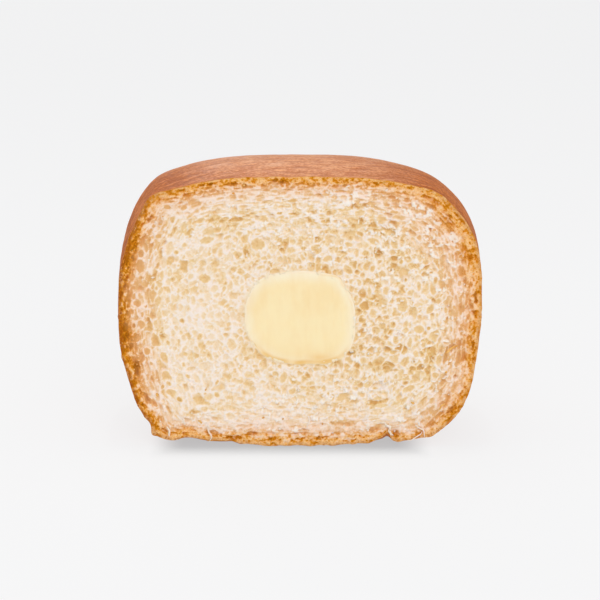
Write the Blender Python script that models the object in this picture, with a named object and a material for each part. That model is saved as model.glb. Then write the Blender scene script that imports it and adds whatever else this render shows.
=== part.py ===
# Half of a small soft cheese bread, cut straight across, with its cheese filling.
# Metres, +Z up. The cut face looks along -Y and the loaf lies on its flat base at Z = 0.
# The crust and the crumb are one solid; the cheese is a second one that runs back into it.
import math
import random

import bmesh
import bpy
from mathutils import Matrix, Vector, noise

# ---- Driving dimensions ----
MM = 0.001
CUT_WIDTH = 0.0960  # across the cut face, crust to crust
CUT_HEIGHT = 0.0737  # base to crown on the cut face
LOAF_DEPTH = 0.0560  # from the cut face to the round back
AXIS_HEIGHT = 0.0380  # height where the loaf is widest
BASE_DEPTH = 0.0384  # reach of the outline below the axis, before the base is pressed flat

CHEESE_WIDTH = 0.0286
CHEESE_HEIGHT = 0.0250
CHEESE_DEPTH = 0.0400
CHEESE_CENTRE = (0.0000, 0.0355)  # across and up
CHEESE_PROUD = 0.0005  # how far the soft cheese bulges out of the cut
GAP = 0.0003  # clearance between the cheese and the crumb round it

# Squareness of the outlines in their four quarters: 2 is an ellipse, more is boxier.
LOAF_SQUARENESS = {"upper_right": 3.2, "upper_left": 3.3, "lower_left": 3.6, "lower_right": 3.5}
CHEESE_SQUARENESS = {"upper_right": 2.5, "upper_left": 2.6, "lower_left": 2.25, "lower_right": 3.3}

# Shoulders and hollows of the loaf's outline at the cut: direction, spread (degrees), height.
LOAF_SHOULDERS = (
    (41, 6, 0.0009),
    (142, 5, 0.0016),
    (158, 12, -0.0010),
    (-156, 10, -0.0013),
    (-136, 5, 0.0024),
    (-46, 7, 0.0010),
    (-19, 11, -0.0010),
)
SHOULDER_LEFT = 0.35  # share of those shoulders that is left deep in the loaf
SHOULDER_FADE = 0.0120  # how far back they fade
# A hollow behind the upper right shoulder: direction, spread (degrees), depth.
HOLLOW = (42, 21, 0.0010)
HOLLOW_START = 0.0240  # how far behind the cut it is all there

# Rounding towards the back, as a superellipse exponent: more stays full for longer.
TOP_ROUNDING = 3.3
SIDE_ROUNDING = 3.3
BASE_ROUNDING = 4.5
SIDE_SWELL = 0.010  # how much wider the loaf is behind the cut
CROWN_RISE = 0.020  # how much higher it is there
SWELL_END = 0.8  # share of the depth where the swelling ends
BASE_SAG = 0.050  # how much the lower half sags there, which presses a long flat spot
UNEVENNESS = 0.0005  # soft lumps in the crust
LUMP_SIZE = 0.0220

# Pores that are large enough to be holes in the solid.
PORE_COUNT = 84
PORE_LENGTH = (0.0011, 0.0021)  # half the length along the crumb's layers
PORE_SLIMNESS = (0.45, 0.80)  # width over length
PORE_DEPTH = (0.0010, 0.0018)
PORE_SPACING = 0.0008  # least crumb wall between two pores
CRUST_MARGIN = 0.0022  # pores keep this far inside the outline
CHEESE_MARGIN = 0.0012
PORE_SEED = 11
# The largest ones: across, up, half length, half width (mm), lean of the length (degrees).
NOTED_PORES = (
    (-38.2, 29.0, 1.9, 1.3, 110),
    (26.1, 62.6, 1.9, 0.8, 4),
    (15.3, 63.6, 1.8, 0.9, 10),
    (23.8, 7.8, 1.4, 0.6, -4),
    (-4.3, 19.2, 1.9, 0.8, 62),
    (16.7, 23.7, 0.9, 0.8, 40),
    (-24.7, 56.3, 2.3, 1.0, 12),
    (-24.9, 46.1, 1.5, 1.3, 0),
    (-11.1, 55.2, 2.0, 1.6, 150),
    (28.8, 15.7, 1.8, 1.0, 35),
    (34.4, 37.8, 1.6, 1.1, 75),
    (31.4, 32.2, 1.3, 1.2, 0),
    (42.6, 48.3, 1.7, 1.2, 95),
    (41.0, 16.8, 1.6, 0.9, 70),
    (-42.0, 49.6, 2.1, 1.1, 84),
    (-35.8, 24.6, 1.9, 0.8, 118),
    (-35.2, 19.4, 1.7, 1.2, 130),
    (-33.8, 14.4, 1.6, 1.0, 128),
)

# The crust's folded crease, which shows as a notch in the cut's lower edge.
CREASE_ACROSS = 0.0232
CREASE_WIDTH = 0.0034
CREASE_HEIGHT = 0.0026
CREASE_LENGTH = 0.0150

AROUND = 92  # points round the loaf
STATIONS = 20  # rings from the cut to the back
CHEESE_AROUND = 44
CHEESE_STATIONS = 12
FRONT = -(LOAF_DEPTH - CHEESE_PROUD) / 2  # where the cut face stands


def clear_scene():
    for thing in list(bpy.data.objects):
        bpy.data.objects.remove(thing, do_unlink=True)


def make_material(name, colour, roughness):
    material = bpy.data.materials.new(name)
    material.use_nodes = True
    shader = material.node_tree.nodes["Principled BSDF"]
    shader.inputs["Base Color"].default_value = (*colour, 1.0)
    shader.inputs["Roughness"].default_value = roughness
    shader.inputs["Metallic"].default_value = 0.0
    return material


def squircle_radius(angle, half_width, up, down, squareness):
    """Distance from the axis to a rounded-square outline, in the direction of the angle."""
    across, rise = math.cos(angle), math.sin(angle)
    side = "right" if across > 0 else "left"
    level = "upper" if rise > 0 else "lower"
    power = squareness[level + "_" + side]
    height = up if rise > 0 else down
    return (abs(across / half_width) ** power + abs(rise / height) ** power) ** (-1 / power)


def loaf_radius(angle, behind):
    """The loaf's outline at a distance behind the cut, before its back is rounded."""
    radius = squircle_radius(
        angle, CUT_WIDTH / 2, CUT_HEIGHT - AXIS_HEIGHT, BASE_DEPTH, LOAF_SQUARENESS
    )
    kept = SHOULDER_LEFT + (1 - SHOULDER_LEFT) * math.exp(-behind / SHOULDER_FADE)
    for direction, spread, height in LOAF_SHOULDERS:
        away = (math.degrees(angle) - direction + 180) % 360 - 180
        radius += kept * height * math.exp(-((away / spread) ** 2))
    direction, spread, depth = HOLLOW
    away = (math.degrees(angle) - direction + 180) % 360 - 180
    begun = min(behind / HOLLOW_START, 1.0)
    return radius - depth * math.exp(-((away / spread) ** 2)) * begun * begun * (3 - 2 * begun)


def loaf_point(angle, share):
    """A point of the crust: the angle goes round the loaf, the share from the cut to the back."""
    across, rise = math.cos(angle), math.sin(angle)
    behind = share * LOAF_DEPTH
    end = TOP_ROUNDING if rise > 0 else BASE_ROUNDING
    rounding = SIDE_ROUNDING + (end - SIDE_ROUNDING) * rise * rise
    closing = (1 - share**rounding) ** (1 / rounding)
    swell = math.sin(math.pi * min(share / SWELL_END, 1.0))
    wider = 1 + SIDE_SWELL * swell * (1 if rise > 0 else 1 - rise * rise)
    higher = 1 + (CROWN_RISE * swell if rise > 0 else BASE_SAG * math.sin(math.pi * share))
    radius = loaf_radius(angle, behind) * closing
    point = Vector((radius * across * wider, FRONT + behind, AXIS_HEIGHT + radius * rise * higher))
    lump = UNEVENNESS * swell * noise.noise(point / LUMP_SIZE)
    point += lump * Vector((across, 0, rise))
    point.z = max(point.z, 0.0)  # pressed flat by its own weight and the tin
    return point


def ring_body(name, rings, material):
    """One closed solid from rings of equal length, each end filled with a flat face."""
    shape = bmesh.new()
    loops = [[shape.verts.new(point) for point in ring] for ring in rings]
    count = len(loops[0])
    for first, second in zip(loops, loops[1:]):
        for i in range(count):
            j = (i + 1) % count
            shape.faces.new((first[i], first[j], second[j], second[i]))
    shape.faces.new(list(reversed(loops[0])))
    shape.faces.new(loops[-1])
    bmesh.ops.recalc_face_normals(shape, faces=shape.faces)
    mesh = bpy.data.meshes.new(name)
    shape.to_mesh(mesh)
    shape.free()
    mesh.materials.append(material)
    mesh.shade_smooth()
    mesh.set_sharp_from_angle(angle=math.radians(40))
    body = bpy.data.objects.new(name, mesh)
    bpy.context.scene.collection.objects.link(body)
    return body


def make_loaf(material):
    last = 0.9985  # the ring where the back is closed by a small flat face
    rings = []
    for station in range(STATIONS + 1):
        share = last * math.sin(math.pi / 2 * station / STATIONS)
        rings.append([loaf_point(math.tau * i / AROUND, share) for i in range(AROUND)])
    return ring_body("bread", rings, material)


def cheese_ring(behind, scale, grow):
    """The cheese's outline at a distance behind the cut, scaled for its ends, grown for its pocket."""
    across, up = CHEESE_CENTRE
    ring = []
    for i in range(CHEESE_AROUND):
        angle = math.tau * i / CHEESE_AROUND
        radius = squircle_radius(
            angle, CHEESE_WIDTH / 2, CHEESE_HEIGHT / 2, CHEESE_HEIGHT / 2, CHEESE_SQUARENESS
        )
        radius = radius * scale + grow
        ring.append(
            Vector((across + radius * math.cos(angle), FRONT + behind, up + radius * math.sin(angle)))
        )
    return ring


def cheese_back_rings(grow):
    """The rings of the straight run and of the round inner end."""
    rings = []
    full = 0.9992  # as far as the rounding goes before its flat end
    for station in range(CHEESE_STATIONS + 1):
        share = full * math.sin(math.pi / 2 * station / CHEESE_STATIONS)
        scale = (1 - share**4) ** 0.25
        rings.append(cheese_ring(share * CHEESE_DEPTH + grow * share, scale, grow))
    return rings


def make_cheese(material):
    """Its front bulges a little out of the cut and is soft at the rim."""
    rings = []
    rim_scales = (0.30, 0.62, 0.84, 0.94, 0.985)
    for scale in rim_scales:
        bulge = CHEESE_PROUD * (1 - scale**4)
        rings.append(cheese_ring(-bulge, scale, 0.0))
    rings.append(cheese_ring(0.0006, 1.0, 0.0))
    rings += cheese_back_rings(0.0)[1:]
    return ring_body("cheese_filling", rings, material)


def as_cutter(body):
    body.hide_render = True
    body.display_type = "WIRE"
    return body


def make_pocket():
    """The room that the cheese takes in the crumb, with its clearance."""
    ahead = [cheese_ring(-0.0020, 1.0, GAP)]
    return as_cutter(ring_body("cheese_pocket", ahead + cheese_back_rings(GAP), None))


def make_crease():
    """A slim wedge along the base that leaves the crust's fold."""
    rings = []
    for behind, size in ((-0.002, 1.0), (CREASE_LENGTH * 0.5, 0.8), (CREASE_LENGTH, 0.1)):
        half, top = size * CREASE_WIDTH / 2, size * CREASE_HEIGHT
        corners = ((-half, -0.001), (half, -0.001), (half * 0.15, top), (-half * 0.15, top))
        rings.append([Vector((CREASE_ACROSS + x, FRONT + behind, z)) for x, z in corners])
    return as_cutter(ring_body("crust_crease", rings, None))


def inside_crumb(across, up, reach):
    """Whether a pore fits between the crust and the cheese."""
    rise = up - AXIS_HEIGHT
    angle = math.atan2(rise, across)
    from_crust = loaf_radius(angle, 0.0) - math.hypot(across, rise) - reach
    if from_crust < CRUST_MARGIN or up - reach < CRUST_MARGIN:
        return False
    dx, dz = across - CHEESE_CENTRE[0], up - CHEESE_CENTRE[1]
    rim = squircle_radius(
        math.atan2(dz, dx), CHEESE_WIDTH / 2, CHEESE_HEIGHT / 2, CHEESE_HEIGHT / 2, CHEESE_SQUARENESS
    )
    return math.hypot(dx, dz) - rim - reach > CHEESE_MARGIN


def layer_angle(across, up):
    """The lie of the crumb's layers, which follow the crust round the loaf."""
    step = 0.02
    angle = math.atan2(up - AXIS_HEIGHT, across)
    ends = []
    for turn in (angle - step, angle + step):
        radius = loaf_radius(turn, 0.0)
        ends.append((radius * math.cos(turn), radius * math.sin(turn)))
    return math.atan2(ends[1][1] - ends[0][1], ends[1][0] - ends[0][0])


def pore_spots():
    """The noted pores, then seeded ones that touch no other: place, half sizes and lean."""
    draw = random.Random(PORE_SEED)
    spots = []
    for across, up, length, width, lean in NOTED_PORES:
        depth = width * MM * 1.1
        spots.append((across * MM, up * MM, length * MM, width * MM, depth, math.radians(lean)))
    while len(spots) < PORE_COUNT + len(NOTED_PORES):
        across = draw.uniform(-0.5, 0.5) * CUT_WIDTH
        up = draw.uniform(0.0, 1.0) * CUT_HEIGHT
        length = draw.triangular(*PORE_LENGTH, PORE_LENGTH[0])
        slim = draw.uniform(*PORE_SLIMNESS)
        depth = draw.uniform(*PORE_DEPTH)
        if not inside_crumb(across, up, length):
            continue
        free = all(
            math.hypot(across - other[0], up - other[1]) > length + other[2] + PORE_SPACING
            for other in spots
        )
        if free:
            lean = layer_angle(across, up)
            spots.append((across, up, length, length * slim, depth, lean))
    return spots


def make_pores():
    """All pore cutters in one mesh: flattened balls sunk half into the cut face."""
    shape = bmesh.new()
    for across, up, length, width, depth, lean in pore_spots():
        place = Matrix.Translation((across, FRONT, up))
        turn = Matrix.Rotation(-lean, 4, "Y")
        size = Matrix.Diagonal((length, depth, width, 1.0))
        bmesh.ops.create_icosphere(shape, subdivisions=2, radius=1.0, matrix=place @ turn @ size)
    mesh = bpy.data.meshes.new("crumb_pores")
    shape.to_mesh(mesh)
    shape.free()
    pores = bpy.data.objects.new("crumb_pores", mesh)
    bpy.context.scene.collection.objects.link(pores)
    return as_cutter(pores)


def cut_with(body, cutter):
    boolean = body.modifiers.new(cutter.name, "BOOLEAN")
    boolean.operation = "DIFFERENCE"
    boolean.solver = "EXACT"
    boolean.object = cutter


def build():
    clear_scene()
    crust = make_material("crust", (0.52, 0.24, 0.09), 0.45)
    cheese = make_material("cheese", (0.95, 0.78, 0.45), 0.40)
    bread = make_loaf(crust)
    for cutter in (make_pocket(), make_crease(), make_pores()):
        cut_with(bread, cutter)
    make_cheese(cheese)


build()
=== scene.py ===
import math
import random

import bpy
import numpy as np
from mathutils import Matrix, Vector


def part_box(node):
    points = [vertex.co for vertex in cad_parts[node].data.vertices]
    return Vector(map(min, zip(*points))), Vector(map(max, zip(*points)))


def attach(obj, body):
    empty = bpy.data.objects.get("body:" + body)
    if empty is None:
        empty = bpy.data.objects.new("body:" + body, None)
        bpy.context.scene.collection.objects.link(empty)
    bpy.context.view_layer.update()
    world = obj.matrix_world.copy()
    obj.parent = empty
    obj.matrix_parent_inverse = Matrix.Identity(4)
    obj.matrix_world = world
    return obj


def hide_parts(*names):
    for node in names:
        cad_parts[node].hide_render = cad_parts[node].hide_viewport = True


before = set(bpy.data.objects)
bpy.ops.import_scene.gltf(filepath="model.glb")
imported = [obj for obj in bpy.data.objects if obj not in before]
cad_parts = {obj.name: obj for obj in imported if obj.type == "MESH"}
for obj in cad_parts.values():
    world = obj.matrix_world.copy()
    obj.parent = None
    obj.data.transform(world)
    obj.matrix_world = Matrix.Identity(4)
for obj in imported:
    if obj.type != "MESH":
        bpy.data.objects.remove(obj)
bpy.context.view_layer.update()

mm = 0.001
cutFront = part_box("bread")[0].y / mm  # where the cut face stands


def smoothStep(low, high, value):
    share = np.clip((value - low) / (high - low), 0, 1)
    return share * share * (3 - 2 * share)


def scatter(i, j, k, seed):  # a fixed random number from -1 to 1 for each lattice corner
    h = (i * 73856093) ^ (j * 19349663) ^ (k * 83492791) ^ (seed * 40503 + 977)
    h = ((h ^ (h >> 13)) * 1274126177) & 0xFFFFFFFF
    return ((h ^ (h >> 16)) & 0xFFFF) / 32767.5 - 1


def softNoise(across, behind, up, size, seed):  # smooth lumps about one size wide
    place = np.broadcast_arrays(across / size, behind / size, up / size)
    whole = [np.floor(p).astype(np.int64) for p in place]
    part = [smoothStep(0.0, 1.0, p - w) for p, w in zip(place, whole)]
    total = 0
    for i in (0, 1):
        for j in (0, 1):
            for k in (0, 1):
                weight = 1
                for side, p in zip((i, j, k), part):
                    weight = weight * (p if side else 1 - p)
                total = total + weight * scatter(whole[0] + i, whole[1] + j, whole[2] + k, seed)
    return total


def faceNoise(across, up, *layers):  # lumps over the cut: strength, size and seed of each layer
    return sum(strength * softNoise(across, 0.0, up, size, seed) for strength, size, seed in layers)


def bell(away, width):  # 1 at nought, fading to either side
    return np.exp(-((away / width) ** 2))


def softSpot(across, up, middle, size):  # 1 at its middle, fading to all sides
    return np.exp(-(((across - middle[0]) / size[0]) ** 2) - ((up - middle[1]) / size[1]) ** 2)


def degreesFrom(angle, direction):  # from -180 to 180
    return (np.degrees(angle) - direction + 180) % 360 - 180


def turned(dx, dz, ca, sa):  # how far along a leaning line, and beside it
    return dx * ca + dz * sa, dz * ca - dx * sa


def makeMesh(name, points, quads, caps=()):  # points in millimetres; each cap is one many-sided face
    corners = np.concatenate([np.asarray(quads).ravel(), *caps]).astype(int)
    sides = np.append(np.full(len(quads), np.asarray(quads).shape[1]), [len(cap) for cap in caps]).astype(int)
    mesh = bpy.data.meshes.new(name)
    mesh.vertices.add(len(points))
    mesh.vertices.foreach_set("co", (np.asarray(points, dtype=np.float64) * mm).ravel())
    mesh.loops.add(len(corners))
    mesh.loops.foreach_set("vertex_index", corners)
    mesh.polygons.add(len(sides))
    mesh.polygons.foreach_set("loop_start", np.concatenate([[0], np.cumsum(sides)[:-1]]))
    mesh.update(calc_edges=True)
    mesh.shade_smooth()
    piece = bpy.data.objects.new(name, mesh)
    bpy.context.scene.collection.objects.link(piece)
    print(name, int((sides - 2).sum()), "triangles")
    return piece


def addMask(piece, name, values):  # a number on each point, which the materials read
    layer = piece.data.attributes.new(name, "FLOAT", "POINT")
    layer.data.foreach_set("value", np.asarray(values, dtype=np.float32).ravel())


def gridQuads(rows, columns, closed=False):  # quads over a grid of points, row by row
    row, column = np.meshgrid(np.arange(rows - 1), np.arange(columns - (not closed)), indexing="ij")
    beside = (column + 1) % columns
    near, far = row * columns, (row + 1) * columns
    corners = [near + column, near + beside, far + beside, far + column]
    return np.stack(corners[::-1] if closed else corners, -1).reshape(-1, 4)


# The loaf's and the cheese's outlines, as in the solids.
loaf = {
    "width": 96.0,
    "height": 73.7,
    "axis": 38.0,  # height where it is widest
    "below": 38.4,
    "depth": 56.0,
    "squareness": (3.2, 3.3, 3.6, 3.5),  # upper right, upper left, lower left, lower right
    "shoulders": (  # direction, spread (degrees), height
        (41, 6, 0.9), (142, 5, 1.6), (158, 12, -1.0), (-156, 10, -1.3), (-136, 5, 2.4), (-46, 7, 1.0),
        (-19, 11, -1.0),
    ),
    "shoulderLeft": 0.35,  # share of the shoulders left deep in the loaf
    "shoulderFade": 12.0,
    "drawnIn": (42, 21, 1.0),  # direction and spread (degrees) of a hollow behind the cut, and its depth
    "drawnInBy": 24.0,
    "rounding": 3.3,  # towards the back, as a superellipse exponent
    "baseRounding": 4.5,
    "sideSwell": 0.010,
    "crownRise": 0.020,
    "swellEnd": 0.8,
    "baseSag": 0.050,
}

cheese = {
    "width": 28.6,
    "height": 25.0,
    "depth": 40.0,
    "across": 0.0,
    "up": 35.5,
    "squareness": (2.5, 2.6, 2.25, 3.3),
    "proud": 0.5,  # how far the soft face bulges out of the cut
}


def squircle(angle, halfWidth, above, below, squareness):
    across, rise = np.cos(angle), np.sin(angle)
    upper = np.where(across > 0, squareness[0], squareness[1])
    lower = np.where(across > 0, squareness[3], squareness[2])
    power = np.where(rise > 0, upper, lower)
    height = np.where(rise > 0, above, below)
    return (np.abs(across / halfWidth) ** power + np.abs(rise / height) ** power) ** (-1 / power)


def loafRadius(angle, behind=0.0):
    above = loaf["height"] - loaf["axis"]
    radius = squircle(angle, loaf["width"] / 2, above, loaf["below"], loaf["squareness"])
    kept = loaf["shoulderLeft"] + (1 - loaf["shoulderLeft"]) * np.exp(-behind / loaf["shoulderFade"])
    for direction, spread, height in loaf["shoulders"]:
        radius = radius + kept * height * bell(degreesFrom(angle, direction), spread)
    direction, spread, hollow = loaf["drawnIn"]
    hollow = hollow * bell(degreesFrom(angle, direction), spread)
    return radius - hollow * smoothStep(0.0, loaf["drawnInBy"], behind)


def cheeseRadius(angle):
    half = cheese["height"] / 2
    return squircle(angle, cheese["width"] / 2, half, half, cheese["squareness"])


def loafPolar(across, up):
    rise = up - loaf["axis"]
    return np.arctan2(rise, across), np.hypot(across, rise)


def rimDistance(across, up):  # how far inside the crust's outer line
    angle, radius = loafPolar(across, up)
    turn = 0.01
    outer = loafRadius(angle)
    slope = (loafRadius(angle + turn) - loafRadius(angle - turn)) / (2 * turn * outer)
    return np.minimum((outer - radius) / np.sqrt(1 + slope**2), up)


def cheeseDistance(across, up):  # how far outside the cheese
    dx, dz = across - cheese["across"], up - cheese["up"]
    return np.hypot(dx, dz) - cheeseRadius(np.arctan2(dz, dx))


def layerLean(across, up):  # the crumb's layers follow the crust round the loaf
    angle, _ = loafPolar(across, up)
    turn = 0.02
    first, second = loafRadius(angle - turn), loafRadius(angle + turn)
    rise = second * np.sin(angle + turn) - first * np.sin(angle - turn)
    return np.arctan2(rise, second * np.cos(angle + turn) - first * np.cos(angle - turn))


# The holes that the solid has as well.
bigPores = {
    "count": 84,
    "length": (1.1, 2.1),
    "slimness": (0.45, 0.80),
    "depth": (1.0, 1.8),
    "spacing": 0.8,
    "crustMargin": 2.2,
    "cheeseMargin": 1.2,
    "wall": 0.16,
    "seed": 11,
    "noted": (  # across, up, half length, half width, lean in degrees
        (-38.2, 29.0, 1.9, 1.3, 110), (26.1, 62.6, 1.9, 0.8, 4), (15.3, 63.6, 1.8, 0.9, 10),
        (23.8, 7.8, 1.4, 0.6, -4), (-4.3, 19.2, 1.9, 0.8, 62), (16.7, 23.7, 0.9, 0.8, 40),
        (-24.7, 56.3, 2.3, 1.0, 12), (-24.9, 46.1, 1.5, 1.3, 0), (-11.1, 55.2, 2.0, 1.6, 150),
        (28.8, 15.7, 1.8, 1.0, 35), (34.4, 37.8, 1.6, 1.1, 75), (31.4, 32.2, 1.3, 1.2, 0),
        (42.6, 48.3, 1.7, 1.2, 95), (41.0, 16.8, 1.6, 0.9, 70), (-42.0, 49.6, 2.1, 1.1, 84),
        (-35.8, 24.6, 1.9, 0.8, 118), (-35.2, 19.4, 1.7, 1.2, 130), (-33.8, 14.4, 1.6, 1.0, 128),
    ),
}


def bigPoreSpots():
    draw = random.Random(bigPores["seed"])
    spots = [(x, z, l, w, w * 1.1, math.radians(lean)) for x, z, l, w, lean in bigPores["noted"]]
    while len(spots) < bigPores["count"] + len(bigPores["noted"]):
        x = draw.uniform(-0.5, 0.5) * loaf["width"]
        z = draw.uniform(0.0, 1.0) * loaf["height"]
        length = draw.triangular(*bigPores["length"], bigPores["length"][0])
        slim = draw.uniform(*bigPores["slimness"])
        depth = draw.uniform(*bigPores["depth"])
        angle, radius = loafPolar(x, z)
        if min(float(loafRadius(angle)) - radius, z) - length < bigPores["crustMargin"]:
            continue
        if float(cheeseDistance(x, z)) - length <= bigPores["cheeseMargin"]:
            continue
        if all(math.hypot(x - o[0], z - o[1]) > length + o[2] + bigPores["spacing"] for o in spots):
            spots.append((x, z, length, length * slim, depth, float(layerLean(x, z))))
    return spots


# The small pores fill the crumb like foam, cut open at the face.
foam = {
    "step": 0.17,  # spacing of the sums across the cut
    "layer": 0.2,  # and into it
    "reach": 3.4,  # how deep the eye can see
    "tries": 95000,
    "size": 0.96,  # half a pore
    "spread": 0.30,
    "closeness": 0.72,  # how near two pores' middles may come, as a share of their sizes
    "roundness": 1.45,  # how far a pore may reach, in its own sizes
    "wall": 0.08,
    "tearing": 0.14,
    "rimWall": 0.04,  # how much thicker they are in the crust
    "bowl": 1.0,  # how far from its wall a pore reaches its full depth
    "softening": 2,  # times that the edges are smoothed
    "strands": 0.35,  # how much of a pore a torn strand fills
    "shallowness": 0.42,  # the soft crumb closes up a little when cut
    "merging": 0.38,  # share of pores that have broken into the next one
    "tones": (0.45, 0.75, 1.35),  # how dark single pores look: least, usual, most
    "ragged": 0.27,  # how unevenly thick their walls look
    "seed": 5,
    "singles": (  # shallow pores that stand out: across, up, half length, half width, lean, tone
        (-34.9, 28.8, 0.9, 0.55, 100, 1.0), (-41.7, 36.4, 0.9, 0.45, 95, 1.2),
        (-42.8, 39.5, 1.1, 0.8, 90, 0.8), (-44.0, 33.3, 0.8, 0.5, 95, 1.3),
        (-40.2, 26.2, 1.1, 0.7, 110, 0.9), (-39.2, 22.8, 0.6, 0.45, 115, 1.0),
        (-30.8, 22.8, 0.9, 0.45, 115, 0.9), (-34.6, 17.6, 0.85, 0.55, 120, 0.9),
        (-36.2, 16.5, 0.75, 0.55, 120, 1.3), (-31.9, 12.9, 1.0, 0.5, 130, 1.3),
        (-29.5, 19.5, 0.85, 0.55, 115, 0.9), (-25.0, 14.8, 0.6, 0.55, 0, 1.0),
        (-22.0, 14.2, 0.85, 0.7, 90, 0.9), (-22.0, 17.9, 0.85, 0.55, 70, 0.9),
        (-30.9, 34.7, 0.85, 0.75, 0, 0.8), (-26.3, 30.3, 0.95, 0.7, 80, 0.8),
        (-41.6, 52.9, 1.2, 0.7, 85, 1.0), (-32.5, 53.4, 0.7, 0.6, 0, 1.0),
        (-30.6, 55.3, 0.8, 0.7, 20, 0.8), (-34.6, 65.3, 0.9, 0.55, 15, 1.2),
        (-30.5, 65.0, 1.0, 0.45, 10, 1.0), (-33.0, 62.0, 1.1, 0.7, 60, 0.8),
        (-28.7, 63.1, 1.2, 0.45, 20, 0.9), (-37.0, 57.8, 0.75, 0.65, 40, 0.9),
        (-38.4, 60.3, 0.7, 0.5, 60, 0.9), (-5.4, 63.9, 1.1, 0.35, 5, 1.4),
        (-1.9, 67.0, 1.4, 0.4, 8, 1.3), (-43.7, 41.2, 0.8, 0.4, 88, 1.4),
        (24.7, 64.1, 1.1, 0.4, 5, 1.2), (8.9, 65.8, 1.0, 0.4, 0, 1.0),
        (4.8, 60.0, 1.1, 0.4, 0, 1.0), (11.5, 60.6, 1.1, 0.45, -5, 1.0),
        (19.0, 48.7, 1.0, 0.8, 60, 0.9), (20.9, 50.9, 0.8, 0.55, 60, 1.0),
        (26.5, 50.4, 0.7, 0.55, 80, 1.2), (17.2, 52.9, 1.1, 0.8, 0, 0.8),
        (27.6, 45.7, 0.7, 0.55, 80, 1.0), (35.7, 45.4, 1.1, 0.65, 85, 0.9),
        (31.1, 57.0, 1.0, 0.9, 60, 0.7), (35.4, 59.2, 0.6, 0.5, 0, 0.9),
        (41.8, 44.8, 1.1, 0.5, 88, 0.9), (33.8, 32.7, 0.7, 0.55, 80, 1.3),
        (24.4, 33.6, 1.0, 0.8, 80, 0.8), (30.8, 25.6, 1.2, 0.8, 75, 0.8),
        (35.9, 19.8, 1.0, 0.8, 65, 0.8), (32.4, 16.5, 0.9, 0.45, 55, 1.0),
        (34.9, 12.9, 1.1, 0.65, 50, 0.8), (36.4, 36.1, 0.8, 0.4, 90, 0.9),
        (39.7, 32.0, 0.95, 0.4, 90, 0.9), (38.3, 37.3, 0.95, 0.4, 90, 0.9),
        (20.1, 16.2, 1.0, 0.4, 5, 1.1), (7.5, 14.5, 0.6, 0.5, 0, 1.1),
    ),
    "bigTone": 0.95,  # how dark the solid's own holes look
    "singleTone": 1.35,  # how much darker the single pores look than their own tone
    "singleDepth": 0.9,  # as a share of its half width
    "surround": 0.9,  # how wide the paler crumb round a large pore is
    "surroundTone": 0.2,  # and the least share of the shade left there
    "nearby": 2.2,  # how far round its middle a small pore counts, in its own sizes
}


def foamSeeds():  # middles and half sizes of the small pores, longer near the crust
    draw = np.random.default_rng(foam["seed"])
    count = foam["tries"]
    x = draw.uniform(-49, 49, count)
    z = draw.uniform(-0.8, 74.5, count)
    w = draw.uniform(-1.0, foam["reach"] + 0.2, count)
    rim = rimDistance(x, z)
    rise = np.abs((z - loaf["axis"]) / 37.0)
    near = smoothStep(17.0 + 6.0 * rise, 4.0 + 2.0 * rise, rim)
    stretch = (1 + near * (0.75 + 0.60 * rise**1.5)) * np.exp(draw.normal(0, 0.15, count))
    size = foam["size"] * (1 + 0.10 * np.tanh(x / 10)) * (1 - 0.50 * smoothStep(4.0, 1.5, rim))
    size = size * (1 + 0.22 * smoothStep(13.0, 7.0, rim) * smoothStep(0.75, 0.35, rise))
    size = size * np.exp(draw.normal(0, foam["spread"], count))
    lean = layerLean(x, z)
    half = (size * stretch, size / stretch**0.9, size * 0.95)
    useful = (rim > -0.6) & (cheeseDistance(x, z) > -1.2)
    rows = np.stack([x, z, w, *half, np.cos(lean), np.sin(lean), size], 1)[useful]
    cell, limit = 2.6, foam["closeness"] ** 2
    beside = [(i, j, k) for i in (-1, 0, 1) for j in (-1, 0, 1) for k in (-1, 0, 1)]
    bins, kept = {}, []
    for x, z, w, a, b, c, ca, sa, size in rows.tolist():
        home = (int(x // cell), int(z // cell), int(w // cell))
        free = True
        for i, j, k in beside:
            for o in bins.get((home[0] + i, home[1] + j, home[2] + k), ()):
                dx, dz = x - o[0], z - o[1]
                along, over = (dx * ca + dz * sa) / (a + o[3]), (dz * ca - dx * sa) / (b + o[4])
                if along * along + over * over + ((w - o[2]) / (c + o[5])) ** 2 < limit:
                    free = False
                    break
            if not free:
                break
        if free:
            seed = (x, z, w, a, b, c, ca, sa, size, len(kept))
            bins.setdefault(home, []).append(seed)
            kept.append(seed)
    group = list(range(len(kept)))
    chance = draw.random(len(kept))
    for seed in kept:
        if chance[seed[9]] < foam["merging"]:
            home = (int(seed[0] // cell), int(seed[1] // cell), int(seed[2] // cell))
            others = [(math.dist(o[:3], seed[:3]), o[9]) for o in bins[home] if o is not seed]
            if others:
                group[seed[9]] = group[min(others)[1]]
    return kept, group


def gridPart(*sides):  # the grid round one pore: place, reach, line of points and gap of each side
    return tuple(
        slice(max(0, int((at - reach - line[0]) / gap)), max(0, int((at + reach - line[0]) / gap) + 2))
        for at, reach, line, gap in sides
    )


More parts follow.
